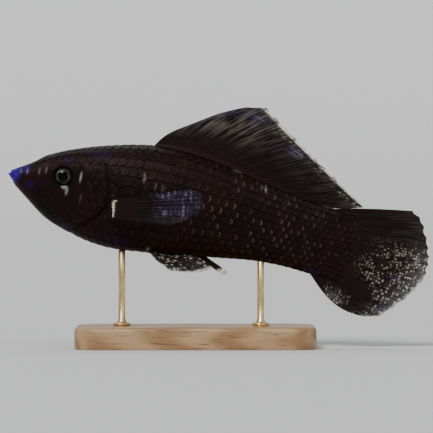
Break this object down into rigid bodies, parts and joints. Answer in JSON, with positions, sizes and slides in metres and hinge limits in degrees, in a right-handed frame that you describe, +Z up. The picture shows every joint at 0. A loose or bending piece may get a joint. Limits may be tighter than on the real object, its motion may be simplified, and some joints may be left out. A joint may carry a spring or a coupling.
{
  "type": "sailfin molly model",
  "caption": "Life-size still model of a black male sailfin molly with a raised sail fin, nose up, held by rods on a flat wooden display base.",
  "frame": {"origin": "middle of the fish's length and of its width, at the underside of the display base", "axes": "+X from the snout towards the tail, level with the floor; +Y towards the fish's right side; +Z up. The fish's own axis is pitched 12.5 degrees nose up"},
  "size_m": [0.0978, 0.034, 0.0561],
  "materials": {
    "skin": "satin black scaled skin with a warm maroon cast and violet glints",
    "fin": "black fin membrane over raised rays, paler and flecked at the margins",
    "clear_fin": "smoky, half-clear fin membrane over fine rays",
    "eye": "wet, glossy, with a thin grey iris ring round a black pupil",
    "base_wood": "satin oiled oak",
    "rod_metal": "brushed"
  },
  "bodies": {
    "root": {"head": "skin", "gill_cover_left": "skin", "gill_cover_right": "skin", "trunk": "skin", "tail_peduncle": "skin", "eye_left": "eye", "eye_right": "eye", "dorsal_fin": "fin", "caudal_fin": "fin", "pectoral_fin_left": "clear_fin", "pectoral_fin_right": "clear_fin", "pelvic_fin_left": "clear_fin", "pelvic_fin_right": "clear_fin", "gonopodium": "fin", "stand_base": "base_wood", "stand_rod_front": "rod_metal", "stand_rod_rear": "rod_metal"}
  },
  "joints": []
}
